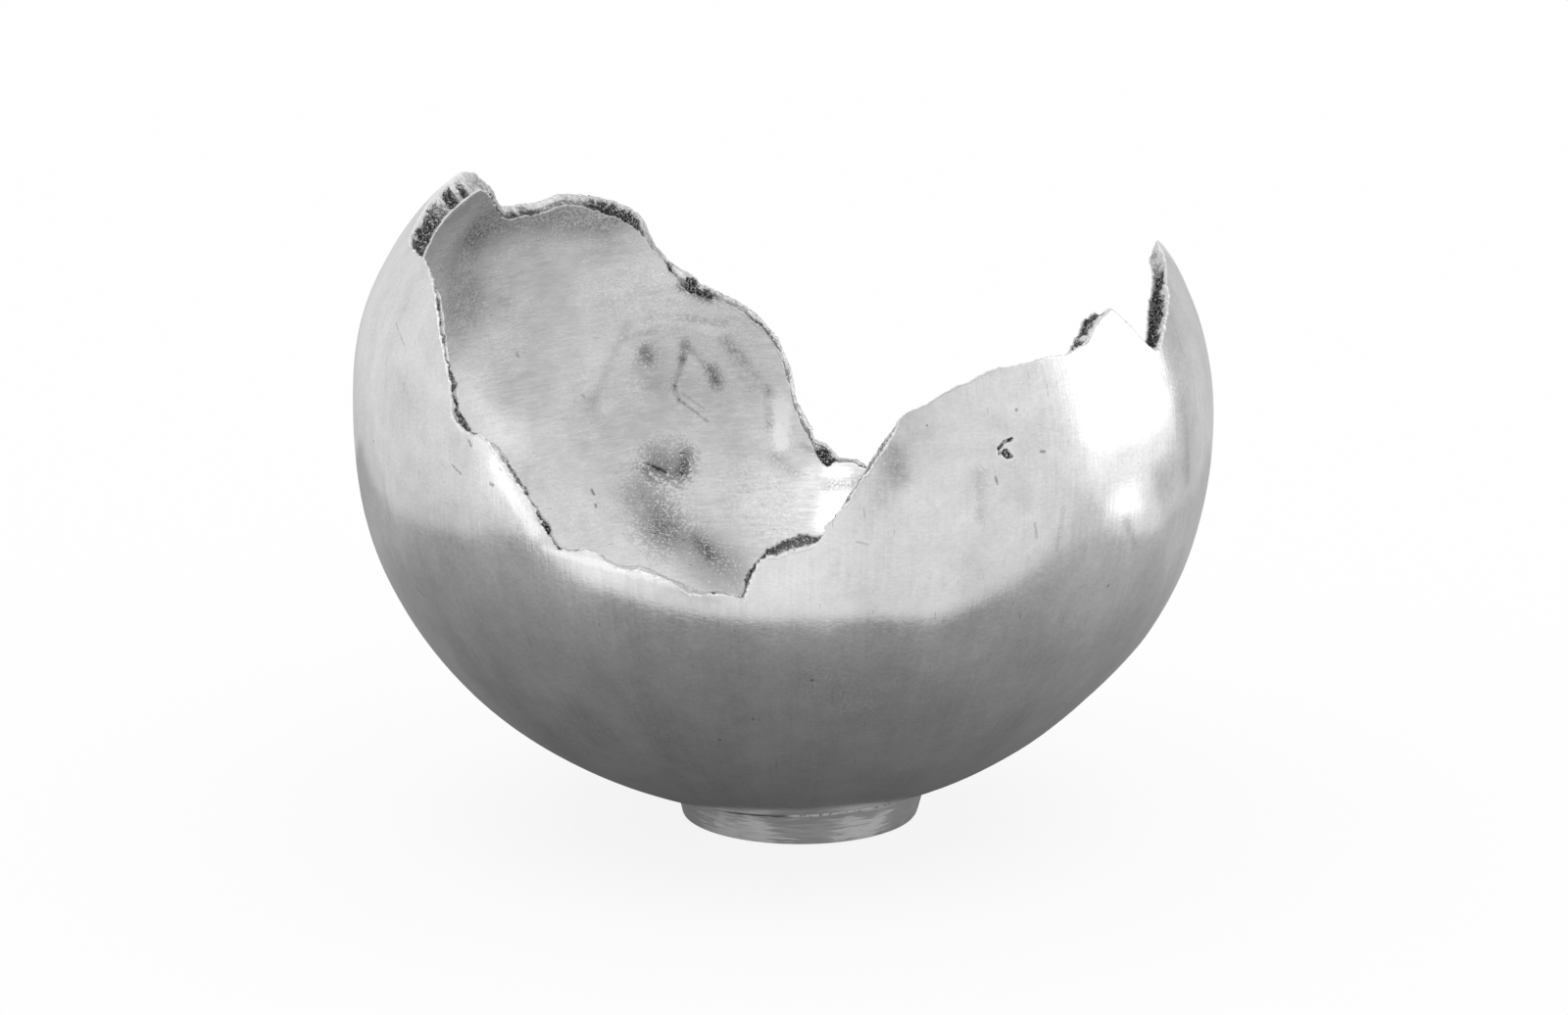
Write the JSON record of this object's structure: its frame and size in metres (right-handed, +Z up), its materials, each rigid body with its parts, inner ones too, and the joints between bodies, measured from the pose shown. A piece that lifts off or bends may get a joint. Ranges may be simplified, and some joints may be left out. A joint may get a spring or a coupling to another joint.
{
  "type": "decorative broken-egg bowl",
  "caption": "Free-standing decorative bowl shaped like a broken eggshell, with a thick torn rim and a small tapered ring foot.",
  "frame": {"origin": "under the middle of the shell's widest section, in the plane the bowl stands on; the ring foot's axis is 10.3 mm towards +X from it, and the shell leans 1.9 degrees on the foot with its -X side higher", "axes": "+Z up, out of the bowl's mouth; -Y is the front, where the torn rim dips into its sharp notch; +X is to the right seen from the front, towards the single spike, and the tallest peak is at -X"},
  "size_m": [0.56, 0.5592, 0.4219],
  "materials": {
    "silver_leaf": "satin",
    "felt": "matte"
  },
  "bodies": {
    "root": {"bowl_shell": "silver_leaf", "foot_ring": "silver_leaf", "bond_bead": "silver_leaf", "felt_pads": "felt"}
  },
  "joints": []
}
